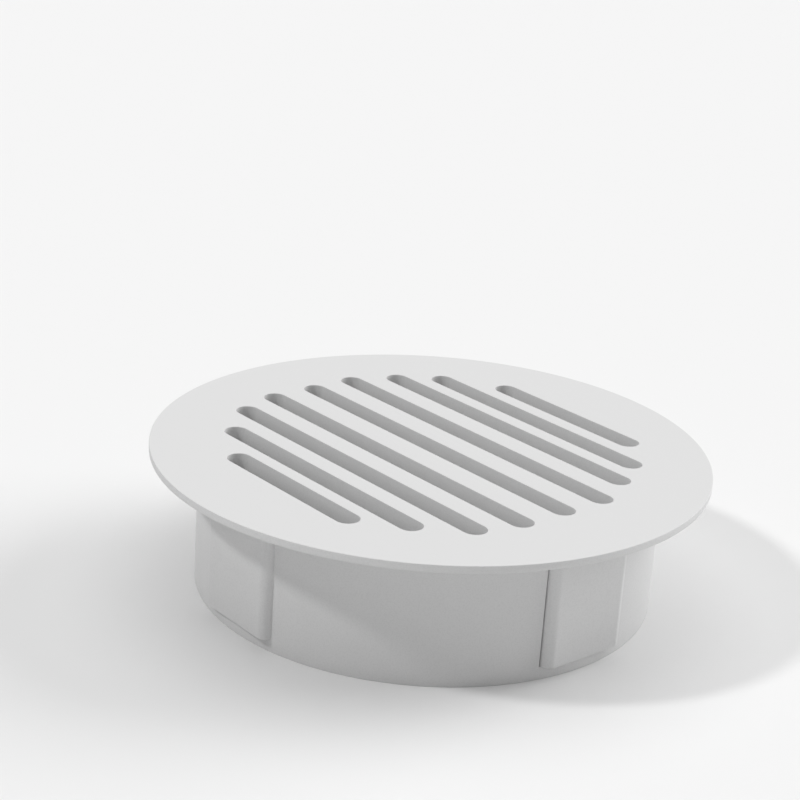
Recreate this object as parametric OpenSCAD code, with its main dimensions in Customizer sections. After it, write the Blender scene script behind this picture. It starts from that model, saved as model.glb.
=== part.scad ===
// Round vent cover: a slotted deck with a thin overhanging flange, on a short
// collar with four flat locating pads. One moulding, standing on its collar.
// Millimetres, +Z up, origin at the centre of the collar's foot. The slots run
// along Y.

/* [Flange] */
// Outer diameter of the flange
flange_d = 116; // [106:1:150]
// Thickness of the flange outside the collar
flange_t = 1.5; // [1:0.1:3]

/* [Collar] */
// Outer diameter of the collar
collar_d = 96; // [80:1:100]
// Wall of the collar
collar_wall = 2; // [1.2:0.1:4]
// Height from the collar's foot to the top face
total_h = 30; // [20:1:60]

/* [Deck] */
// Thickness of the slotted deck inside the collar
deck_t = 4; // [2:0.1:8]
// Width of a slot
slot_w = 5; // [3:0.1:6]

/* [Pads] */
// Number of pads round the collar
pad_count = 4; // [2:1:6]
// Width of a pad
pad_w = 20.2; // [10:0.2:30]
// How far the middle of a pad stands out of the collar
pad_out = 0.8; // [0.6:0.1:3]
// Height of a pad's underside above the collar's foot
pad_rise = 2.7; // [1:0.1:10]
// Radius of a pad's upright edges
pad_edge_r = 2; // [0.5:0.1:3]
// Turn of the pads against the slots, in degrees
pad_turn = -0.4; // [-10:0.1:10]

/* [Relief groove] */
// Width of the groove along one foot of each pad
groove_w = 0.3; // [0.2:0.05:0.6]
// Depth of the groove in the collar's wall
groove_depth = 0.6; // [0.2:0.05:1]

/* [Hidden] */

// Place of each slot across the deck, as a share of the collar's inner radius
slot_at = [-0.825, -0.65, -0.451, -0.236, 0.001, 0.23, 0.449, 0.635, 0.82];
// Land left between each slot's tip and the collar's bore, at the -Y end
land_front = [2.0, 2.8, 1.9, 3.4, 4.7, 3.5, 4.2, 3.1, 2.1];
// The same at the +Y end
land_back = [4.2, 3.7, 2.1, 2.4, 3.9, 2.5, 2.5, 2.3, 3.2];

collar_r = collar_d / 2;
bore_r = collar_r - collar_wall;
slot_r = slot_w / 2;
flange_z = total_h - flange_t;
pad_face = collar_r + pad_out;
pad_h = flange_z - pad_rise;
// A pad's root lies in the middle of the wall at the pad's sides
pad_root = sqrt(pow(collar_r - collar_wall / 2, 2) - pow(pad_w / 2, 2));
// Angle from a pad's middle to the foot of its side on the collar
pad_foot_angle = asin((pad_w / 2) / collar_r);
// Overshoot of a cut past the face that it opens
cut = 1;
round_fn = 180;
edge_fn = 48;

// Distance along Y from the deck's middle to a slot's tip
function tip_y(x, land) = sqrt(pow(bore_r - land, 2) - pow(x, 2));

// Thin disc that overhangs the collar and seats on the panel
module flange() {
    translate([0, 0, flange_z])
        cylinder(h = flange_t, d = flange_d, $fn = round_fn);
}

// The collar's outside, solid up to the top face
module collar_blank() {
    cylinder(h = total_h, r = collar_r, $fn = round_fn);
}

// The hollow below the deck
module collar_bore() {
    translate([0, 0, -cut])
        cylinder(h = total_h - deck_t + cut, r = bore_r, $fn = round_fn);
}

// One pad on the +X side: a flat block with two rounded upright edges
module pad() {
    edge_y = pad_w / 2 - pad_edge_r;
    translate([0, 0, pad_rise]) {
        translate([pad_root, -edge_y, 0])
            cube([pad_face - pad_root, 2 * edge_y, pad_h]);
        translate([pad_root, -pad_w / 2, 0])
            cube([pad_face - pad_edge_r - pad_root, pad_w, pad_h]);
        for (side = [-1, 1])
            translate([pad_face - pad_edge_r, side * edge_y, 0])
                cylinder(h = pad_h, r = pad_edge_r, $fn = edge_fn);
    }
}

// Narrow groove in the wall along one foot of the pad
module relief_groove() {
    rotate([0, 0, -pad_foot_angle])
        translate([collar_r - groove_depth, -groove_w, pad_rise])
            cube([groove_depth + cut, groove_w, pad_h]);
}

// Repeats its children once for each pad
module round_the_collar() {
    for (k = [0 : pad_count - 1])
        rotate([0, 0, pad_turn + k * 360 / pad_count])
            children();
}

// One slot with round ends, from the tip at y0 to the tip at y1
module slot(x, y0, y1) {
    translate([x, 0, total_h - deck_t - cut]) {
        translate([-slot_r, y0 + slot_r, 0])
            cube([slot_w, y1 - y0 - slot_w, deck_t + 2 * cut]);
        for (y = [y0 + slot_r, y1 - slot_r])
            translate([0, y, 0])
                cylinder(h = deck_t + 2 * cut, r = slot_r, $fn = edge_fn);
    }
}

// All slots of the deck
module slots() {
    for (i = [0 : len(slot_at) - 1]) {
        x = slot_at[i] * bore_r;
        slot(x, -tip_y(x, land_front[i]), tip_y(x, land_back[i]));
    }
}

module vent_cover() {
    color("gainsboro")
        difference() {
            union() {
                flange();
                collar_blank();
                round_the_collar() pad();
            }
            collar_bore();
            slots();
            round_the_collar() relief_groove();
        }
}

vent_cover();
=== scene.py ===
"""Studio scene of a round slotted vent cover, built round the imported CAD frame.

The cover is one moulding: a thin flange, a slotted deck, a short collar and
four flat pads. Sizes are millimetres in the classes and become metres when a
mesh is made. +Z points up through the deck, the slots run along Y, and the
collar stands on the floor at height 0.
"""

from __future__ import annotations

import logging
import math
from dataclasses import dataclass, field
from enum import Enum
from typing import Any

import bpy
import numpy as np
from mathutils import Matrix, Vector
from mathutils.geometry import delaunay_2d_cdt

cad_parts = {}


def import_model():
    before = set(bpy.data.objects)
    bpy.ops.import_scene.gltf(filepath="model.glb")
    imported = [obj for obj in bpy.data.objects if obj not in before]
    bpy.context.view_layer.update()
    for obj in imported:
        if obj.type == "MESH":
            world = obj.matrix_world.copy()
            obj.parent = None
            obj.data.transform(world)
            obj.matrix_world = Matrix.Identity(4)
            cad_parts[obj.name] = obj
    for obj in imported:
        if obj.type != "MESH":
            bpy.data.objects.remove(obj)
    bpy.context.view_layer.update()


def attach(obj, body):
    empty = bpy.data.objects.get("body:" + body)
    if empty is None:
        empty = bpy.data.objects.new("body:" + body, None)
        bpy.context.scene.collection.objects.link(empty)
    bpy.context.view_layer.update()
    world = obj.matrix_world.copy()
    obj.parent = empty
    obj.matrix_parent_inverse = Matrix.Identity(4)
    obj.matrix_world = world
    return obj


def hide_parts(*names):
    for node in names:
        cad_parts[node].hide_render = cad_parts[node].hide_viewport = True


LOG = logging.getLogger("vent_cover_scene")

MM = 0.001
COVER_NODE = "vent_cover"
BODY = "root"
HALF_TURN = math.pi
FULL_TURN = 2 * math.pi
QUARTER_TURN = math.pi / 2

Colour = tuple[float, float, float]


class Facing(Enum):
    """Which way a flat cap or a wall looks."""

    UP = "up"
    DOWN = "down"
    OUT = "out"
    IN = "in"


class LampKind(Enum):
    """The two kinds of lamp in the studio."""

    SUN = "SUN"
    PANEL = "AREA"


def ring_points(radius: float, angles: np.ndarray) -> np.ndarray:
    """Plan points of a circle round the axis: radius times cosine and sine."""
    return radius * np.column_stack((np.cos(angles), np.sin(angles)))


def turned(points: np.ndarray, angle: float) -> np.ndarray:
    """Turn plan points round the axis.

    Args:
        points: One row of x and y per point.
        angle: The turn, anticlockwise, in radians.

    Returns:
        The turned points: x cos - y sin, and x sin + y cos.
    """
    cos, sin = math.cos(angle), math.sin(angle)
    return points @ np.array([[cos, sin], [-sin, cos]])


def moved_in(outline: np.ndarray, amount: np.ndarray) -> np.ndarray:
    """Move each point of a closed outline towards the inside.

    The way out at a point is the line from the point before to the point
    after, turned a quarter turn clockwise and made one long.

    Args:
        outline: Plan points, anticlockwise.
        amount: How far each point moves.

    Returns:
        The moved points.
    """
    along = np.roll(outline, -1, axis=0) - np.roll(outline, 1, axis=0)
    out = np.column_stack((along[:, 1], -along[:, 0]))
    out /= np.linalg.norm(out, axis=1, keepdims=True)
    return outline - out * amount[:, None]


class Skin:
    """A closed skin put together from rings, walls between them and flat caps."""

    def __init__(self) -> None:
        """Start with no points and no faces."""
        self.points = np.empty((0, 3))
        self.quads: list[np.ndarray] = []
        self.triangles: list[np.ndarray] = []
        self.creases: list[np.ndarray] = []

    def ring(self, plan: np.ndarray, height: float) -> np.ndarray:
        """Add a row of points at one height.

        Args:
            plan: One row of x and y per point, in millimetres.
            height: Their height in millimetres.

        Returns:
            The points' numbers, in order.
        """
        first = len(self.points)
        rows = np.column_stack((plan, np.full(len(plan), height)))
        self.points = np.concatenate((self.points, rows))
        return np.arange(first, len(self.points))

    def carry(self, rings: list[np.ndarray], facing: Facing) -> None:
        """Join rings of equal length with four-sided faces, as a swept profile.

        Args:
            rings: Numbers of each ring's points, anticlockwise seen from above,
                in step with each other and from the lowest ring to the highest.
            facing: OUT, away from the rings' middle, or IN, towards it.
        """
        for low, high in zip(rings[:-1], rings[1:]):
            loop = (low, np.roll(low, -1), np.roll(high, -1), high)
            self.quads.append(np.column_stack(loop if facing is Facing.OUT else loop[::-1]))

    def cap(self, loops: list[np.ndarray], facing: Facing) -> None:
        """Fill the flat region between closed loops at one height.

        The loops are held fixed in a Delaunay triangulation. A triangle stays
        where a ray from its middle crosses the loops an odd number of times.

        Args:
            loops: Numbers of each loop's points, the outline and its holes.
            facing: UP or DOWN.
        """
        numbers = np.concatenate(loops)
        plan = self.points[numbers][:, :2]
        firsts = np.cumsum([0] + [len(loop) for loop in loops[:-1]])
        steps = [first + np.arange(len(loop)) for first, loop in zip(firsts, loops)]
        edges = np.concatenate([np.column_stack((s, np.roll(s, -1))) for s in steps])
        result = delaunay_2d_cdt(
            [Vector(p) for p in plan.tolist()], edges.tolist(), [], 1, 1e-7
        )
        came_from = np.array([sources[0] for sources in result[3]])
        triangles = came_from[np.array(result[2])]
        triangles = triangles[self._odd_crossings(plan, edges, triangles)]
        one, two, three = (plan[triangles[:, k]] for k in range(3))
        area = np.linalg.det(np.stack((two - one, three - one), axis=1))
        wrong = (area > 0) != (facing is Facing.UP)
        triangles[wrong] = triangles[wrong][:, ::-1]
        self.triangles.append(numbers[triangles])
        self.creases.append(numbers[edges])

    @staticmethod
    def _odd_crossings(
        plan: np.ndarray, edges: np.ndarray, triangles: np.ndarray
    ) -> np.ndarray:
        """Tell which triangles lie inside the outline and outside its holes.

        Args:
            plan: One row of x and y per point.
            edges: Two point numbers for each edge of the loops.
            triangles: Three point numbers for each triangle.

        Returns:
            True for each triangle whose middle sees an odd number of edges
            along +X.
        """
        middle = plan[triangles].mean(axis=1)
        start, end = plan[edges[:, 0]], plan[edges[:, 1]]
        across = (start[:, 1] > middle[:, 1:]) != (end[:, 1] > middle[:, 1:])
        rise = np.where(end[:, 1] == start[:, 1], 1.0, end[:, 1] - start[:, 1])
        share = (middle[:, 1:] - start[:, 1]) / rise
        meets = start[:, 0] + share * (end[:, 0] - start[:, 0])
        return (across & (meets > middle[:, :1])).sum(axis=1) % 2 == 1

    def build(self, name: str, crease_angle: float) -> bpy.types.Object:
        """Make the mesh object, in metres, with its creases marked sharp.

        Args:
            name: The piece's name.
            crease_angle: Faces that meet at more than this, in radians, meet sharply.

        Returns:
            The new object, at the origin.
        """
        faces = [rows for block in self.quads + self.triangles for rows in block.tolist()]
        mesh = bpy.data.meshes.new(name)
        mesh.from_pydata((self.points * MM).tolist(), [], faces)
        mesh.update()
        mesh.polygons.foreach_set("use_smooth", np.ones(len(faces), bool))
        mesh.set_sharp_from_angle(angle=crease_angle)
        self._sharpen(mesh)
        piece = bpy.data.objects.new(name, mesh)
        bpy.context.scene.collection.objects.link(piece)
        return piece

    def _sharpen(self, mesh: bpy.types.Mesh) -> None:
        """Mark the edges round every flat cap as sharp.

        Args:
            mesh: The finished mesh, whose points keep the skin's numbers.
        """
        size = len(self.points)
        rim = np.sort(np.concatenate(self.creases), axis=1)
        ends = np.empty(len(mesh.edges) * 2, np.int32)
        mesh.edges.foreach_get("vertices", ends)
        ends = np.sort(ends.reshape(-1, 2), axis=1).astype(np.int64)
        sharp = np.empty(len(mesh.edges), bool)
        mesh.edges.foreach_get("use_edge_sharp", sharp)
        sharp |= np.isin(ends[:, 0] * size + ends[:, 1], rim[:, 0] * size + rim[:, 1])
        mesh.edges.foreach_set("use_edge_sharp", sharp)


@dataclass(frozen=True)
class EdgeRound:
    """The tiny rounding of a moulded edge."""

    radius: float = 0.12
    steps: int = 3

    def rows(self) -> list[tuple[float, float]]:
        """Give the rounding's rows, from the flat face to the wall.

        Returns:
            For each row, how far it lies inside the wall's line and how far
            from the flat face: the radius times one less the sine, and times
            one less the cosine, of an angle that grows to a right angle.
        """
        angles = np.linspace(0.0, QUARTER_TURN, self.steps + 1)
        inset = self.radius * (1 - np.sin(angles))
        drop = self.radius * (1 - np.cos(angles))
        return list(zip(inset.tolist(), drop.tolist()))


@dataclass(frozen=True)
class Flange:
    """The thin disc that overhangs the collar."""

    diameter: float = 116.0
    thickness: float = 1.5
    steps: int = 720

    def plan(self, inset: float) -> np.ndarray:
        """Plan points of the rim, moved in by inset."""
        angles = np.arange(self.steps) * (FULL_TURN / self.steps)
        return ring_points(self.diameter / 2 - inset, angles)

    def rim(self, skin: Skin, edge: EdgeRound, top: float) -> tuple[np.ndarray, np.ndarray]:
        """Build the rim's wall with its two rounded edges.

        Args:
            skin: The skin that the wall is added to.
            edge: The rounding of both edges.
            top: Height of the flange's top face.

        Returns:
            The lowest and the highest ring.
        """
        rows = edge.rows()
        under = top - self.thickness
        rings = [skin.ring(self.plan(inset), under + drop) for inset, drop in rows]
        rings += [skin.ring(self.plan(inset), top - drop) for inset, drop in rows[::-1]]
        skin.carry(rings, Facing.OUT)
        return rings[0], rings[-1]


@dataclass(frozen=True)
class Slots:
    """Nine slots with round ends, side by side across the deck.

    A slot's place is a share of the collar's inner radius, and its two tips
    lie short of the collar's bore by the land at that end.
    """

    width: float = 5.0
    shares: tuple[float, ...] = (-0.825, -0.65, -0.451, -0.236, 0.001, 0.23, 0.449, 0.635, 0.82)
    front_lands: tuple[float, ...] = (2.0, 2.8, 1.9, 3.4, 4.7, 3.5, 4.2, 3.1, 2.1)
    back_lands: tuple[float, ...] = (4.2, 3.7, 2.1, 2.4, 3.9, 2.5, 2.5, 2.3, 3.2)
    end_steps: int = 40

    def middles(self, bore: float) -> np.ndarray:
        """Work out each slot's line and the middles of its two round ends.

        Args:
            bore: The inner radius of the collar.

        Returns:
            A row of x, front y and back y for each slot: the slot's line meets
            a circle smaller than the bore by the land, less half the width.
        """
        x = np.array(self.shares) * bore
        front = -np.sqrt((bore - np.array(self.front_lands)) ** 2 - x**2)
        back = np.sqrt((bore - np.array(self.back_lands)) ** 2 - x**2)
        return np.column_stack((x, front + self.width / 2, back - self.width / 2))

    def plan(self, middle: np.ndarray, outset: float) -> np.ndarray:
        """Plan points of one slot: a half circle at each end, joined.

        Args:
            middle: The slot's x, front y and back y.
            outset: How much further out the outline lies than the slot's wall.

        Returns:
            The outline, anticlockwise.
        """
        x, front, back = middle
        half = np.linspace(0.0, HALF_TURN, self.end_steps + 1)
        end = ring_points(self.width / 2 + outset, half)
        return np.concatenate((end + (x, back), (x, front) - end))

    def walls(
        self, skin: Skin, edge: EdgeRound, bore: float, under: float, top: float
    ) -> tuple[list[np.ndarray], list[np.ndarray]]:
        """Build the walls of all slots with their rounded edges.

        Args:
            skin: The skin that the walls are added to.
            edge: The rounding at the deck's two faces.
            bore: The inner radius of the collar.
            under: Height of the deck's underside.
            top: Height of the deck's top face.

        Returns:
            The lowest rings and the highest rings, one of each for a slot.
        """
        rows = edge.rows()
        low, high = [], []
        for middle in self.middles(bore):
            rings = [skin.ring(self.plan(middle, out), under + drop) for out, drop in rows]
            rings += [skin.ring(self.plan(middle, out), top - drop) for out, drop in rows[::-1]]
            skin.carry(rings, Facing.IN)
            low.append(rings[0])
            high.append(rings[-1])
        return low, high


@dataclass(frozen=True)
class CollarPlan:
    """The collar's outline with its pads, split into equal sectors.

    A sector runs from a groove through the pad and along the plain collar to
    the next groove. The feet are the numbers, within a sector, of the points
    where the pad meets the collar. The bridge runs along the plain collar's
    circle from one foot to the other, below the pad.
    """

    outline: np.ndarray
    ease: np.ndarray
    sectors: int
    groove_points: int
    feet: tuple[int, int]
    bridges: list[np.ndarray]

    def sector(self, ring: np.ndarray, number: int) -> np.ndarray:
        """Give the part of a ring that belongs to one sector."""
        length = len(ring) // self.sectors
        return ring[number * length : (number + 1) * length]


@dataclass(frozen=True)
class Pads:
    """Four flat pads round the collar, each with a fine groove at one foot."""

    count: int = 4
    width: float = 20.2
    stand_out: float = 0.8
    rise: float = 2.7
    edge_radius: float = 2.0
    turn_degrees: float = -0.4
    groove_width: float = 0.3
    groove_depth: float = 0.6
    edge_steps: int = 16
    face_steps: int = 40
    step_degrees: float = 0.5

    def edge_arc(self, collar: float) -> np.ndarray:
        """Plan points of a pad's rounded upright edge, from the face to the foot.

        The circle of the edge radius is followed from the flat face to the
        point at which it meets the collar's circle. Seen from the small
        circle's middle that point lies at an angle whose cosine, against the
        line from the axis, is the collar's radius squared less the middle's
        distance squared and the edge radius squared, over twice their product.

        Args:
            collar: The outer radius of the collar.

        Returns:
            The points of the edge on the pad's left, for a pad on +X.
        """
        middle = np.array(
            (collar + self.stand_out - self.edge_radius, self.width / 2 - self.edge_radius)
        )
        reach = float(np.hypot(*middle))
        cosine = (collar**2 - reach**2 - self.edge_radius**2) / (2 * reach * self.edge_radius)
        last = math.acos(cosine) + math.atan2(middle[1], middle[0])
        return middle + ring_points(
            self.edge_radius, np.linspace(0.0, last, self.edge_steps + 1)
        )

    def groove(self, collar: float) -> np.ndarray:
        """Plan points of the groove beside a pad's right foot.

        Args:
            collar: The outer radius of the collar.

        Returns:
            The groove's mouth, and the two corners of its bed.
        """
        bed = collar - self.groove_depth
        mouth = math.sqrt(collar**2 - self.groove_width**2)
        corners = ((mouth, -self.groove_width), (bed, -self.groove_width), (bed, 0.0))
        return turned(np.array(corners), -math.asin(self.width / 2 / collar))

    def plan(self, collar: float) -> CollarPlan:
        """Work out the collar's outline with all pads and grooves.

        Args:
            collar: The outer radius of the collar.

        Returns:
            The outline, with the share of an edge rounding that each point
            takes: none in the grooves, on the collar and at the pads' feet.
        """
        groove, left = self.groove(collar), self.edge_arc(collar)
        right = left[::-1] * (1, -1)
        across = np.linspace(right[-1, 1], left[0, 1], self.face_steps + 1)[1:-1]
        face = np.column_stack((np.full(len(across), left[0, 0]), across))
        foot = math.atan2(left[-1, 1], left[-1, 0])
        sector = FULL_TURN / self.count
        mouth = sector + math.atan2(groove[0, 1], groove[0, 0])
        steps = round((mouth - foot) / math.radians(self.step_degrees))
        plain = ring_points(collar, np.linspace(foot, mouth, steps + 1)[1:-1])
        one = np.concatenate((groove, right, face, left, plain))
        fade = np.sqrt(np.linspace(0.0, 1.0, len(left)))
        ease = np.concatenate(
            (np.zeros(len(groove)), fade, np.ones(len(face)), fade[::-1], np.zeros(len(plain)))
        )
        steps = round(2 * foot / math.radians(self.step_degrees))
        bridge = ring_points(collar, np.linspace(-foot, foot, steps + 1)[1:-1])
        turns = math.radians(self.turn_degrees) + sector * np.arange(self.count)
        last_foot = len(groove) + len(right) + len(face) + len(left) - 1
        return CollarPlan(
            outline=np.concatenate([turned(one, turn) for turn in turns]),
            ease=np.tile(ease, self.count),
            sectors=self.count,
            groove_points=len(groove),
            feet=(len(groove), last_foot),
            bridges=[turned(bridge, turn) for turn in turns],
        )

    def walls(
        self, skin: Skin, edge: EdgeRound, plan: CollarPlan, under: float
    ) -> tuple[np.ndarray, np.ndarray]:
        """Build the padded part of the collar down to the pads' undersides.

        Args:
            skin: The skin that the faces are added to.
            edge: The rounding of a pad's lower edge.
            plan: The collar's outline with its pads.
            under: Height of the flange's underside.

        Returns:
            The ring below the flange, and the plain collar's ring at the
            height of the pads' undersides.
        """
        rings = [
            skin.ring(moved_in(plan.outline, plan.ease * inset), self.rise + drop)
            for inset, drop in edge.rows()
        ]
        rings.append(skin.ring(plan.outline, under))
        skin.carry(rings, Facing.OUT)
        right, left = plan.feet
        plain = []
        for number, bridge in enumerate(plan.bridges):
            part = plan.sector(rings[0], number)
            below = skin.ring(bridge, self.rise)
            skin.cap([part[: plan.groove_points + 1]], Facing.UP)
            skin.cap([np.concatenate((part[right : left + 1], below[::-1]))], Facing.DOWN)
            plain += [part[:1], part[right : right + 1], below, part[left:]]
        return rings[-1], np.concatenate(plain)


class Number:
    """A number that flows through a shader, for writing its maths with operators."""

    def __init__(self, graph: Graph, socket: bpy.types.NodeSocket) -> None:
        """Wrap an output socket of a node in graph."""
        self.graph = graph
        self.socket = socket

    def _math(self, operation: str, *values: Any) -> Number:
        """Add one Math node that takes values in order."""
        return self.graph.math(operation, *values)

    def __add__(self, other: Number | float) -> Number:
        """Add."""
        return self._math("ADD", self, other)

    def __radd__(self, other: float) -> Number:
        """Add to a plain number."""
        return self._math("ADD", other, self)

    def __sub__(self, other: Number | float) -> Number:
        """Subtract."""
        return self._math("SUBTRACT", self, other)

    def __rsub__(self, other: float) -> Number:
        """Subtract from a plain number."""
        return self._math("SUBTRACT", other, self)

    def __mul__(self, other: Number | float) -> Number:
        """Multiply."""
        return self._math("MULTIPLY", self, other)

    def __rmul__(self, other: float) -> Number:
        """Multiply a plain number."""
        return self._math("MULTIPLY", other, self)

    def __truediv__(self, other: Number | float) -> Number:
        """Divide."""
        return self._math("DIVIDE", self, other)

    def __rtruediv__(self, other: float) -> Number:
        """Divide a plain number."""
        return self._math("DIVIDE", other, self)

    def __pow__(self, other: Number | float) -> Number:
        """Raise to a power."""
        return self._math("POWER", self, other)

    def __abs__(self) -> Number:
        """Take the size without the sign."""
        return self._math("ABSOLUTE", self)

    def over(self, edge: float, width: float) -> Number:
        """Give a soft mask that rises from 0 to 1 round a value.

        Args:
            edge: The value at which the mask is a half.
            width: Over how much the mask rises.

        Returns:
            The mask, by a smooth step.
        """
        node = self.graph.node(
            "ShaderNodeMapRange",
            {"interpolation_type": "SMOOTHSTEP"},
            {"Value": self, "From Min": edge - width / 2, "From Max": edge + width / 2},
        )
        return Number(self.graph, node.outputs["Result"])


class Graph:
    """The nodes of one material or world."""

    def __init__(self, tree: bpy.types.NodeTree) -> None:
        """Start with an empty tree."""
        self.tree = tree
        tree.nodes.clear()

    def node(
        self,
        kind: str,
        settings: dict[str, Any] | None = None,
        inputs: dict[str | int, Any] | None = None,
    ) -> bpy.types.Node:
        """Add any node.

        Args:
            kind: The node's type.
            settings: Its own settings, set first.
            inputs: A value, a Number or an output socket for each input, named
                by its name or its place.

        Returns:
            The new node.
        """
        made = self.tree.nodes.new(kind)
        for name, value in (settings or {}).items():
            setattr(made, name, value)
        for name, value in (inputs or {}).items():
            source = value.socket if isinstance(value, Number) else value
            if isinstance(source, bpy.types.NodeSocket):
                self.tree.links.new(source, made.inputs[name])
            else:
                made.inputs[name].default_value = source
        return made

    def math(self, operation: str, *values: Any) -> Number:
        """Add a Math node.

        Args:
            operation: The node's operation.
            values: A number, plain or wrapped, for each of its inputs in order.

        Returns:
            The result.
        """
        node = self.node(
            "ShaderNodeMath", {"operation": operation}, dict(enumerate(values))
        )
        return Number(self, node.outputs[0])

    def mix(self, factor: Number | float, one: Any, two: Any) -> bpy.types.NodeSocket:
        """Mix two colours.

        Args:
            factor: The share of the second colour.
            one: The first colour, as a value or a socket.
            two: The second colour, as a value or a socket.

        Returns:
            The mixed colour's socket.
        """
        node = self.node(
            "ShaderNodeMix",
            {"data_type": "RGBA"},
            {"Factor": factor, 6: one, 7: two},
        )
        return node.outputs[2]

    def noise(self, place: bpy.types.NodeSocket, size: float, detail: float) -> Number:
        """Add an even noise.

        Args:
            place: The coordinates, in metres.
            size: The size of its grains, in millimetres.
            detail: How many finer layers it has.

        Returns:
            The noise, from 0 to 1 round a half.
        """
        node = self.node(
            "ShaderNodeTexNoise",
            {"noise_dimensions": "3D"},
            {"Vector": place, "Scale": 1 / (size * MM), "Detail": detail},
        )
        return Number(self, node.outputs["Fac"])


def rgba(colour: Colour) -> tuple[float, float, float, float]:
    """Add a full alpha to a colour."""
    return (*colour, 1.0)


@dataclass(frozen=True)
class MouldedPlastic:
    """Matt light grey plastic, smooth on top and finely grained on its walls."""

    colour: Colour = (0.66, 0.66, 0.66)
    grain_colour: Colour = (0.58, 0.58, 0.58)
    roughness: float = 0.6
    grain_size: float = 0.32
    grain_height: float = 0.006
    layer_height: float = 0.45
    layer_depth: float = 0.004

    def material(self, name: str) -> bpy.types.Material:
        """Make the material.

        Args:
            name: The material's name.

        Returns:
            The new material.
        """
        made = bpy.data.materials.new(name)
        made.use_nodes = True
        graph = Graph(made.node_tree)
        where = graph.node("ShaderNodeTexCoord")
        place = where.outputs["Object"]
        upright = self.upright(graph, where.outputs["Normal"])
        grain = graph.noise(place, self.grain_size, 1.0)
        height = Number(graph, graph.node("ShaderNodeSeparateXYZ", None, {0: place}).outputs["Z"])
        layers = graph.math("SINE", height * (FULL_TURN / (self.layer_height * MM)))
        speck = grain.over(0.56, 0.3) * upright
        relief = grain * (self.grain_height * MM) * upright + layers * (
            self.layer_depth / 2 * MM
        ) * upright
        bump = graph.node(
            "ShaderNodeBump", None, {"Strength": 1.0, "Distance": 1.0, "Height": relief}
        )
        shader = graph.node(
            "ShaderNodeBsdfPrincipled",
            None,
            {
                "Base Color": graph.mix(speck * 0.35, rgba(self.colour), rgba(self.grain_colour)),
                "Roughness": self.roughness,
                "Normal": bump.outputs["Normal"],
            },
        )
        graph.node("ShaderNodeOutputMaterial", None, {"Surface": shader.outputs[0]})
        return made

    @staticmethod
    def upright(graph: Graph, normal: bpy.types.NodeSocket) -> Number:
        """Give a mask that is 1 on upright walls and 0 on flat faces.

        Args:
            graph: The material's nodes.
            normal: The surface's own direction.

        Returns:
            The mask, from the size of the direction's height.
        """
        parts = graph.node("ShaderNodeSeparateXYZ", None, {0: normal})
        return 1 - abs(Number(graph, parts.outputs["Z"])).over(0.5, 0.6)


@dataclass(frozen=True)
class VentCover:
    """The whole cover: flange, slotted deck, collar and pads in one skin."""

    height: float = 30.0
    collar_diameter: float = 96.0
    collar_wall: float = 2.0
    deck: float = 4.0
    bore_steps: int = 720
    crease_degrees: float = 35.0
    flange: Flange = field(default_factory=Flange)
    slots: Slots = field(default_factory=Slots)
    pads: Pads = field(default_factory=Pads)
    edge: EdgeRound = field(default_factory=EdgeRound)
    finish: MouldedPlastic = field(default_factory=MouldedPlastic)

    def build(self) -> bpy.types.Object:
        """Build the cover's closed skin.

        Returns:
            The cover's object.
        """
        skin = Skin()
        collar = self.collar_diameter / 2
        bore = collar - self.collar_wall
        deck_under = self.height - self.deck
        flange_under = self.height - self.flange.thickness
        rim_low, rim_high = self.flange.rim(skin, self.edge, self.height)
        slots_low, slots_high = self.slots.walls(skin, self.edge, bore, deck_under, self.height)
        skin.cap([rim_high, *slots_high], Facing.UP)
        plan = self.pads.plan(collar)
        collar_high, collar_plain = self.pads.walls(skin, self.edge, plan, flange_under)
        skin.cap([rim_low, collar_high], Facing.DOWN)
        foot_out = self._foot(skin, collar_plain, collar)
        foot_in, bore_high = self._bore(skin, bore, deck_under)
        skin.cap([foot_out, foot_in], Facing.DOWN)
        skin.cap([bore_high, *slots_low], Facing.DOWN)
        return skin.build("slotted_cover", math.radians(self.crease_degrees))

    def _foot(self, skin: Skin, plain: np.ndarray, collar: float) -> np.ndarray:
        """Carry the plain collar down to its foot.

        Args:
            skin: The skin that the wall is added to.
            plain: The collar's ring at the pads' undersides.
            collar: The outer radius of the collar.

        Returns:
            The ring at the foot, on the floor.
        """
        outward = skin.points[plain][:, :2] / collar
        rings = [
            skin.ring(outward * (collar - inset), drop) for inset, drop in self.edge.rows()
        ]
        skin.carry([*rings, plain], Facing.OUT)
        return rings[0]

    def _bore(self, skin: Skin, bore: float, deck_under: float) -> tuple[np.ndarray, np.ndarray]:
        """Build the collar's inner wall.

        Args:
            skin: The skin that the wall is added to.
            bore: The collar's inner radius.
            deck_under: Height of the deck's underside.

        Returns:
            The ring at the foot, on the floor, and the ring at the deck.
        """
        angles = np.arange(self.bore_steps) * (FULL_TURN / self.bore_steps)
        rings = [
            skin.ring(ring_points(bore + outset, angles), drop)
            for outset, drop in self.edge.rows()
        ]
        rings.append(skin.ring(ring_points(bore, angles), deck_under))
        skin.carry(rings, Facing.IN)
        return rings[0], rings[-1]

    def dress(self, piece: bpy.types.Object) -> None:
        """Give the cover its finish, its body and the node that it stands for."""
        piece.data.materials.append(self.finish.material("matt_grey_plastic"))
        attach(piece, BODY)
        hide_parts(COVER_NODE)


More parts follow.
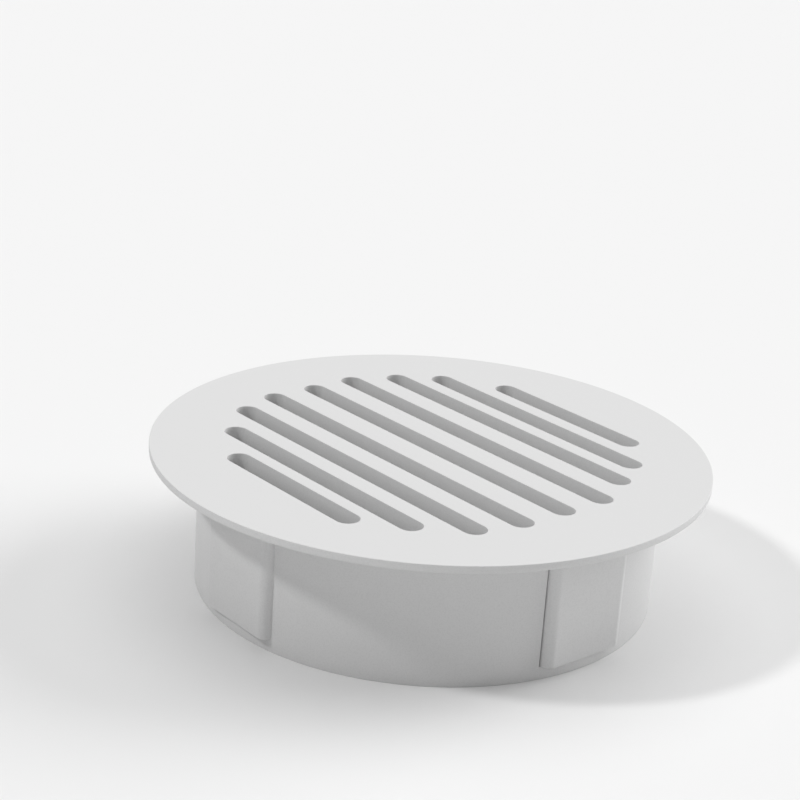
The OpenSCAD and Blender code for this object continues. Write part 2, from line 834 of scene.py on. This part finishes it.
@dataclass(frozen=True)
class CameraRig:
    """The camera at the photograph's viewing angle.

    Heading turns from +Y towards +X, pitch tips up, and roll turns the camera
    anticlockwise on its own line of sight.
    """

    stand: tuple[float, float, float] = (-245.743, -269.734, 172.856)
    heading_degrees: float = 41.217
    pitch_degrees: float = -20.062
    roll_degrees: float = 3.865
    lens: float = 85.105
    sensor: float = 36.0

    def build(self) -> bpy.types.Object:
        """Place the camera.

        Its view runs along the heading, tipped by the pitch. Its right is the
        level line across the view, turned by the roll towards its up.

        Returns:
            The camera's object.
        """
        heading, pitch, roll = (
            math.radians(v)
            for v in (self.heading_degrees, self.pitch_degrees, self.roll_degrees)
        )
        view = Vector(
            (
                math.sin(heading) * math.cos(pitch),
                math.cos(heading) * math.cos(pitch),
                math.sin(pitch),
            )
        )
        level = Vector((math.cos(heading), -math.sin(heading), 0.0))
        upward = level.cross(view)
        right = level * math.cos(roll) + upward * math.sin(roll)
        up = upward * math.cos(roll) - level * math.sin(roll)
        data = bpy.data.cameras.new("photo_camera")
        data.lens = self.lens
        data.sensor_width = self.sensor
        data.clip_start, data.clip_end = 0.02, 20.0
        camera = bpy.data.objects.new("photo_camera", data)
        camera.matrix_world = Matrix.Translation(Vector(self.stand) * MM) @ Matrix(
            (right, up, -view)
        ).transposed().to_4x4()
        bpy.context.scene.collection.objects.link(camera)
        bpy.context.scene.camera = camera
        return camera


@dataclass(frozen=True)
class StudioLamp:
    """One lamp, aimed at the cover's middle.

    Azimuth turns from +X towards +Y. A sun's size is its width in degrees, and
    a panel's is its side in metres. The level is a sun's light on a white
    surface that faces it, as a share of full white, or a panel's power in watts.
    """

    name: str
    kind: LampKind
    azimuth_degrees: float
    elevation_degrees: float
    size: float
    level: float
    distance: float = 2.0

    def build(self) -> bpy.types.Object:
        """Place and aim the lamp.

        Returns:
            The lamp's object.
        """
        data = bpy.data.lights.new(self.name, self.kind.value)
        if self.kind is LampKind.SUN:
            data.angle = math.radians(self.size)
            data.energy = self.level * math.pi
        else:
            data.shape = "DISK"
            data.size = self.size
            data.energy = self.level
        azimuth = math.radians(self.azimuth_degrees)
        elevation = math.radians(self.elevation_degrees)
        back = Vector(
            (
                math.cos(azimuth) * math.cos(elevation),
                math.sin(azimuth) * math.cos(elevation),
                math.sin(elevation),
            )
        )
        lamp = bpy.data.objects.new(self.name, data)
        lamp.matrix_world = (
            Matrix.Translation(back * self.distance)
            @ back.to_track_quat("Z", "Y").to_matrix().to_4x4()
        )
        bpy.context.scene.collection.objects.link(lamp)
        return lamp


@dataclass(frozen=True)
class Floor:
    """The plain pale floor."""

    colour: Colour = (0.83, 0.83, 0.83)
    roughness: float = 0.9
    reach: float = 6.0

    def build(self) -> bpy.types.Object:
        """Lay the floor at height 0.

        Returns:
            The floor's object.
        """
        side = self.reach
        mesh = bpy.data.meshes.new("floor")
        mesh.from_pydata(
            [(-side, -side, 0.0), (side, -side, 0.0), (side, side, 0.0), (-side, side, 0.0)],
            [],
            [(0, 1, 2, 3)],
        )
        mesh.update()
        floor = bpy.data.objects.new("floor", mesh)
        bpy.context.scene.collection.objects.link(floor)
        made = bpy.data.materials.new("pale_floor")
        made.use_nodes = True
        graph = Graph(made.node_tree)
        shader = graph.node(
            "ShaderNodeBsdfDiffuse", None, {"Color": rgba(self.colour), "Roughness": 0.0}
        )
        graph.node("ShaderNodeOutputMaterial", None, {"Surface": shader.outputs[0]})
        mesh.materials.append(made)
        return floor


@dataclass(frozen=True)
class Backdrop:
    """The world: a soft even light, seen by the camera as a plain pale wall."""

    wall: Colour = (0.831, 0.831, 0.831)
    ambient: Colour = (1.0, 1.0, 1.0)
    ambient_level: float = 0.35

    def build(self) -> bpy.types.World:
        """Make the world.

        Returns:
            The new world.
        """
        world = bpy.data.worlds.new("backdrop")
        bpy.context.scene.world = world
        world.use_nodes = True
        graph = Graph(world.node_tree)
        ray = graph.node("ShaderNodeLightPath").outputs
        seen = graph.math(
            "MAXIMUM",
            Number(graph, ray["Is Camera Ray"]),
            graph.math(
                "MAXIMUM",
                Number(graph, ray["Is Glossy Ray"]),
                Number(graph, ray["Is Transmission Ray"]),
            ),
        )
        light = graph.node(
            "ShaderNodeBackground",
            None,
            {"Color": rgba(self.ambient), "Strength": self.ambient_level},
        )
        wall = graph.node(
            "ShaderNodeBackground", None, {"Color": rgba(self.wall), "Strength": 1.0}
        )
        mixed = graph.node(
            "ShaderNodeMixShader", None, {0: seen, 1: light.outputs[0], 2: wall.outputs[0]}
        )
        graph.node("ShaderNodeOutputWorld", None, {"Surface": mixed.outputs[0]})
        return world


LAMPS = (
    StudioLamp("left_key", LampKind.SUN, 153.0, 46.0, 6.0, 0.3),
    StudioLamp("right_soft", LampKind.SUN, -15.0, 25.0, 40.0, 0.6),
    StudioLamp("top_soft", LampKind.SUN, 45.0, 75.0, 60.0, 0.3),
)


def corners(box: tuple[Vector, Vector]) -> list[list[float]]:
    """Give a box's two corners as plain lists."""
    return [list(corner) for corner in box]


def main() -> None:
    """Load the frame, build the cover and the studio, and report each piece."""
    logging.basicConfig(level=logging.INFO, format="%(name)s: %(message)s")
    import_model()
    bpy.context.scene.view_settings.view_transform = "Standard"
    CameraRig().build()
    cover = VentCover()
    piece = cover.build()
    cover.dress(piece)
    LOG.info("%s: %d points, %d faces", piece.name, len(piece.data.vertices), len(piece.data.polygons))
    Floor().build()
    Backdrop().build()
    for lamp in LAMPS:
        lamp.build()
        LOG.info("lamp %s, level %.2f", lamp.name, lamp.level)


if __name__ == "__main__":
    main()
